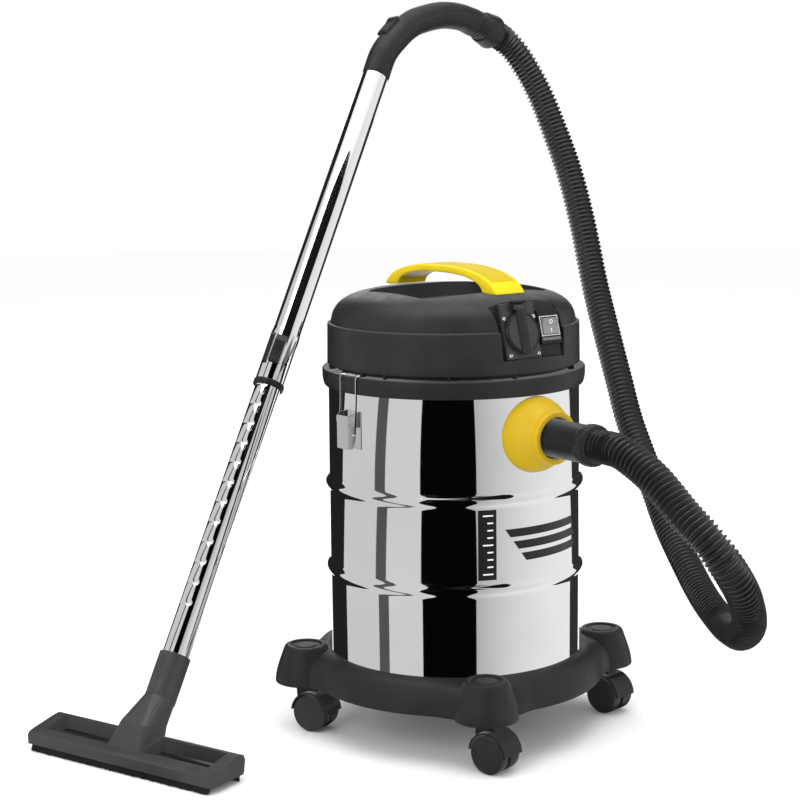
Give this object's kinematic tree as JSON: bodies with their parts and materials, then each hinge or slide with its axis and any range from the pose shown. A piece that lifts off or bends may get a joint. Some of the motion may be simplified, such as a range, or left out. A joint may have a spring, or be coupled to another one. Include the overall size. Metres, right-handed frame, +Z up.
{
  "type": "wet and dry shop vacuum",
  "caption": "Upright wet-and-dry vacuum: polished drum on a castered dolly, black motor head with a yellow carry handle, latches, corrugated hose, telescopic wand and floor nozzle.",
  "frame": {"origin": "centre of the footprint of the machine, wand and nozzle (hose left out), on the floor", "axes": "+Z up; the drum's front with its inlet and switch panel faces -Y; the wand leans up from the nozzle at -X towards +X"},
  "size_m": [0.9804, 0.8647, 0.9797],
  "materials": {
    "black_plastic": "satin",
    "dark_plastic": "satin",
    "hose_black": "satin",
    "wheel_black": "satin",
    "yellow_plastic": "satin",
    "amber_plastic": "satin",
    "orange_plastic": "satin",
    "grey_plastic": "satin",
    "motor_grey": "satin",
    "aluminium": "satin",
    "drum_steel": "polished",
    "steel": "satin",
    "chrome": "polished",
    "rubber": "matte",
    "bristle": "matte",
    "filter_paper": "matte"
  },
  "bodies": {
    "machine": {"dolly_base": "black_plastic", "drum": "drum_steel", "drum_gasket": "rubber", "head_base": "black_plastic", "head_cover": "black_plastic", "carry_handle": "yellow_plastic", "socket_plate": "black_plastic", "socket_screw_1": "chrome", "socket_screw_2": "chrome", "socket_screw_3": "chrome", "socket_screw_4": "chrome", "lid_pin": "steel", "switch_frame": "dark_plastic", "motor": "motor_grey", "float_cage": "black_plastic", "filter": "filter_paper", "cord_gland": "rubber", "inlet_boss": "amber_plastic", "inlet_tube": "black_plastic", "hose_cuff_drum": "hose_black", "hose": "hose_black", "hose_cuff_handle": "hose_black", "handle_pipe": "black_plastic", "wand_upper": "chrome", "wand_collar": "black_plastic", "lock_guide": "black_plastic", "latch_bracket_left": "steel", "latch_bracket_right": "steel", "latch_pin_left": "chrome", "latch_pin_right": "chrome"},
    "caster_front": {"caster_hood_front": "black_plastic"},
    "wheels_front": {"caster_axle_front": "steel", "caster_wheel_front_a": "wheel_black", "caster_wheel_front_b": "wheel_black"},
    "caster_right": {"caster_hood_right": "black_plastic"},
    "wheels_right": {"caster_axle_right": "steel", "caster_wheel_right_a": "wheel_black", "caster_wheel_right_b": "wheel_black"},
    "caster_back": {"caster_hood_back": "black_plastic"},
    "wheels_back": {"caster_axle_back": "steel", "caster_wheel_back_a": "wheel_black", "caster_wheel_back_b": "wheel_black"},
    "caster_left": {"caster_hood_left": "black_plastic"},
    "wheels_left": {"caster_axle_left": "steel", "caster_wheel_left_a": "wheel_black", "caster_wheel_left_b": "wheel_black"},
    "lever_left": {"latch_lever_left": "steel"},
    "bail_left": {"latch_bail_left": "chrome"},
    "lever_right": {"latch_lever_right": "steel"},
    "bail_right": {"latch_bail_right": "chrome"},
    "socket_lid": {"socket_lid": "dark_plastic"},
    "rocker": {"switch_rocker": "grey_plastic"},
    "impeller": {"impeller": "aluminium"},
    "float": {"float": "orange_plastic"},
    "air_slider": {"air_slider": "black_plastic"},
    "lock_button": {"lock_button": "black_plastic"},
    "telescope": {"wand_lower": "chrome", "nozzle_body": "black_plastic", "nozzle_brush": "bristle", "nozzle_squeegee": "rubber"}
  },
  "joints": [
    {"name": "front_swivel", "type": "hinge", "parent": "machine", "child": "caster_front", "pos_m": [0.00915, -0.25037, 0.0655], "axis": [0, 0, 1], "continuous": true},
    {"name": "front_roll", "type": "hinge", "parent": "caster_front", "child": "wheels_front", "pos_m": [0.01244, -0.26398, 0.025], "axis": [-0.972, -0.2351, 0], "continuous": true},
    {"name": "right_swivel", "type": "hinge", "parent": "machine", "child": "caster_right", "pos_m": [0.28347, -0.16335, 0.0655], "axis": [0, 0, 1], "continuous": true},
    {"name": "right_roll", "type": "hinge", "parent": "caster_right", "child": "wheels_right", "pos_m": [0.2858, -0.17716, 0.025], "axis": [-0.986, -0.1668, 0], "continuous": true},
    {"name": "back_swivel", "type": "hinge", "parent": "machine", "child": "caster_back", "pos_m": [0.19645, 0.11097, 0.0655], "axis": [0, 0, 1], "continuous": true},
    {"name": "back_roll", "type": "hinge", "parent": "caster_back", "child": "wheels_back", "pos_m": [0.20092, 0.0977, 0.025], "axis": [-0.9478, -0.319, 0], "continuous": true},
    {"name": "left_swivel", "type": "hinge", "parent": "machine", "child": "caster_left", "pos_m": [-0.07787, 0.02395, 0.0655], "axis": [0, 0, 1], "continuous": true},
    {"name": "left_roll", "type": "hinge", "parent": "caster_left", "child": "wheels_left", "pos_m": [-0.07182, 0.01132, 0.025], "axis": [-0.9018, -0.4321, 0], "continuous": true},
    {"name": "latch_left", "type": "hinge", "parent": "machine", "child": "lever_left", "pos_m": [-0.07695, -0.07912, 0.433], "axis": [-0.0523, 0.9986, 0], "range_deg": [0, 150]},
    {"name": "bail_left", "type": "hinge", "parent": "lever_left", "child": "bail_left", "pos_m": [-0.07595, -0.07907, 0.413], "axis": [-0.0523, 0.9986, 0], "range_deg": [-150, 0]},
    {"name": "latch_right", "type": "hinge", "parent": "machine", "child": "lever_right", "pos_m": [0.28255, -0.06028, 0.433], "axis": [0.0523, -0.9986, 0], "range_deg": [0, 150]},
    {"name": "bail_right", "type": "hinge", "parent": "lever_right", "child": "bail_right", "pos_m": [0.28155, -0.06033, 0.413], "axis": [0.0523, -0.9986, 0], "range_deg": [-150, 0]},
    {"name": "socket_lid", "type": "hinge", "parent": "machine", "child": "socket_lid", "pos_m": [0.0918, -0.21813, 0.57315], "axis": [-1, 0, 0], "range_deg": [0, 100], "stiffness_Nm_per_rad": 0.02, "springref_deg": -34.38},
    {"name": "power_rocker", "type": "hinge", "parent": "machine", "child": "rocker", "pos_m": [0.1378, -0.22113, 0.54652], "axis": [1, 0, 0], "range_deg": [-16, 0]},
    {"name": "impeller_spin", "type": "hinge", "parent": "machine", "child": "impeller", "pos_m": [0.1028, -0.0697, 0.494], "axis": [0, 0, 1], "continuous": true},
    {"name": "float_lift", "type": "slide", "parent": "machine", "child": "float", "axis": [0, 0, 1], "range_m": [0, 0.05]},
    {"name": "air_slide", "type": "slide", "parent": "machine", "child": "air_slider", "axis": [0.7907, 0.1999, 0.5787], "range_m": [-0.006, 0.006]},
    {"name": "wand_lock", "type": "slide", "parent": "machine", "child": "lock_button", "axis": [-0.5043, -0.1773, -0.8451], "range_m": [0, 0.006], "stiffness_N_per_m": 200, "springref_m": -0.01},
    {"name": "wand_telescope", "type": "slide", "parent": "machine", "child": "telescope", "axis": [0.5043, 0.1773, 0.8451], "range_m": [0, 0.28]}
  ],
  "couplings": [
    {"joint": "bail_left", "follows": "latch_left", "ratio": -1},
    {"joint": "bail_right", "follows": "latch_right", "ratio": -1}
  ]
}
